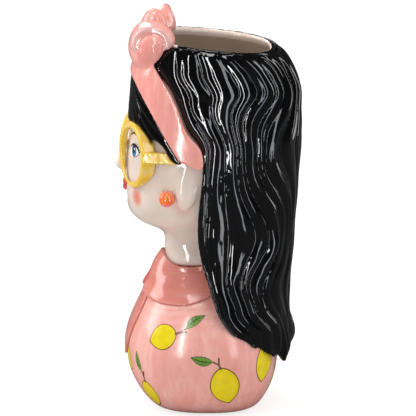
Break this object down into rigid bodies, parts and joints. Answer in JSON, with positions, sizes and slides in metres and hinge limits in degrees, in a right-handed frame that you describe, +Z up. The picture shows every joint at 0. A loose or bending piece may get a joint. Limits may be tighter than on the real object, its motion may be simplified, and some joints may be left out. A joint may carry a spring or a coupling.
{
  "type": "head planter",
  "caption": "Glazed ceramic planter shaped as a lady's bust with long hair, a bow, round spectacles and a lemon-print blouse; the open head holds the plant.",
  "frame": {"origin": "centre of the footprint, on the surface that the foot ring rests on", "axes": "+Z up, -Y the way the face looks, +X towards the figure's own left side"},
  "size_m": [0.1222, 0.1305, 0.2761],
  "materials": {
    "skin_glaze": "warm cream glaze, glossy",
    "hair_glaze": "black glaze, high gloss",
    "ribbon_glaze": "brushed coral pink glaze, glossy",
    "blouse_glaze": "brushed pink glaze with a fruit print",
    "collar_glaze": "brushed darker pink glaze, glossy",
    "spectacle_glaze": "golden yellow glaze, glossy",
    "earring_lustre": "orange glaze with a pink lustre",
    "lip_glaze": "red glaze, glossy"
  },
  "bodies": {
    "root": {"bust_casting": "blouse_glaze", "head_casting": "skin_glaze", "hair_casting": "hair_glaze", "hair_tip_left": "hair_glaze", "hair_tip_middle": "hair_glaze", "hair_tip_right": "hair_glaze", "fringe_left": "hair_glaze", "fringe_right": "hair_glaze", "headband": "ribbon_glaze", "bow_knot": "ribbon_glaze", "bow_loop_left": "ribbon_glaze", "bow_loop_right": "ribbon_glaze", "spectacle_rim_left": "spectacle_glaze", "spectacle_rim_right": "spectacle_glaze", "spectacle_bridge": "spectacle_glaze", "temple_arm_left": "spectacle_glaze", "temple_arm_right": "spectacle_glaze", "ear_left": "skin_glaze", "ear_right": "skin_glaze", "earring_left": "earring_lustre", "earring_right": "earring_lustre", "lips": "lip_glaze", "collar_left": "collar_glaze", "collar_right": "collar_glaze", "lapel_left": "collar_glaze", "lapel_right": "collar_glaze"}
  },
  "joints": []
}
